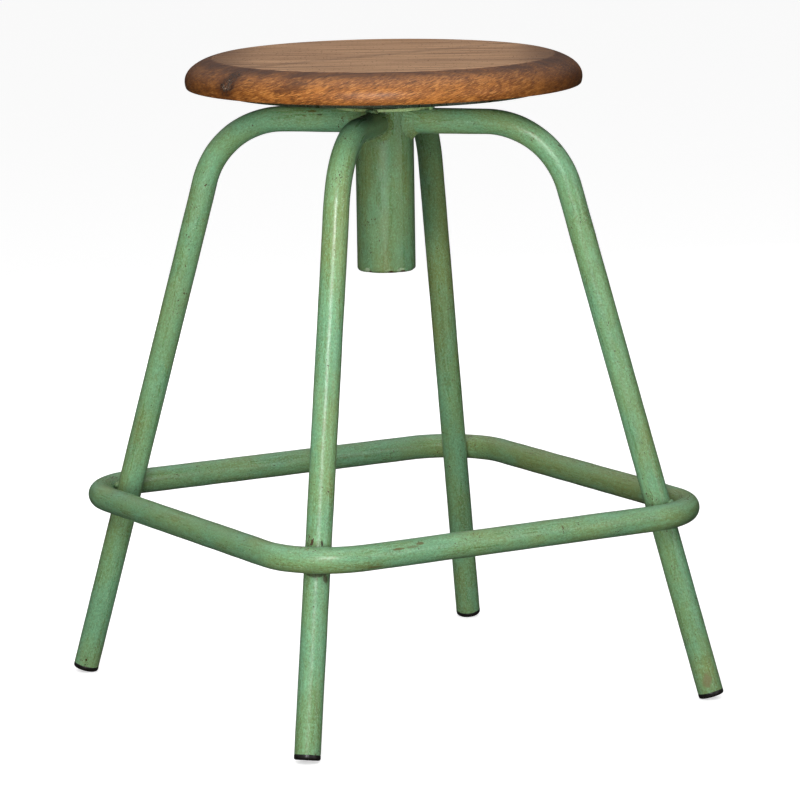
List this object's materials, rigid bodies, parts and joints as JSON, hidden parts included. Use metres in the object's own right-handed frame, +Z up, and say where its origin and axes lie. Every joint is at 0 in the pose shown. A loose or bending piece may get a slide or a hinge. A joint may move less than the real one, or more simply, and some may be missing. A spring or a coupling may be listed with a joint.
{
  "type": "bar stool with footrest",
  "caption": "Backless bar stool: a round wooden seat that turns up and down on a screw spindle, over four bent tube legs tied by a square tubular footrest.",
  "frame": {"origin": "on the floor, under the axis of the seat and the hub", "axes": "+Z up along the seat's axis; the legs stand on the diagonals and the footrest's sides run along X and Y"},
  "size_m": [0.483, 0.483, 0.626],
  "materials": {
    "seat_wood": "oiled, satin",
    "green_paint": "worn hand-painted satin",
    "dark_paint": "worn satin",
    "spindle_steel": "greased",
    "screw_steel": "zinc plated",
    "black_plastic": "moulded"
  },
  "bodies": {
    "frame": {"disc_welds": "green_paint", "foot_cap_back": "black_plastic", "foot_cap_front": "black_plastic", "foot_cap_left": "black_plastic", "foot_cap_right": "black_plastic", "footrest": "green_paint", "footrest_welds": "green_paint", "hub_disc": "green_paint", "hub_plug": "black_plastic", "hub_tube": "green_paint", "hub_welds": "green_paint", "leg_back": "green_paint", "leg_front": "green_paint", "leg_left": "green_paint", "leg_right": "green_paint", "lift_nut": "spindle_steel"},
    "lift": {"guide_bush": "black_plastic"},
    "seat": {"seat_top": "seat_wood", "seat_plate": "dark_paint", "seat_screws": "screw_steel", "spindle": "spindle_steel", "spindle_collar": "dark_paint", "guide_washer": "screw_steel", "guide_screw": "screw_steel"}
  },
  "joints": [
    {"name": "seat_height", "type": "slide", "parent": "frame", "child": "lift", "axis": [0, 0, 1], "range_m": [0, 0.096]},
    {"name": "seat_turn", "type": "hinge", "parent": "lift", "child": "seat", "pos_m": [0, 0, 0.5], "axis": [0, 0, 1], "range_deg": [0, 5760]}
  ],
  "couplings": [
    {"joint": "seat_height", "follows": "seat_turn", "m_per_rad": 0.00095493}
  ]
}
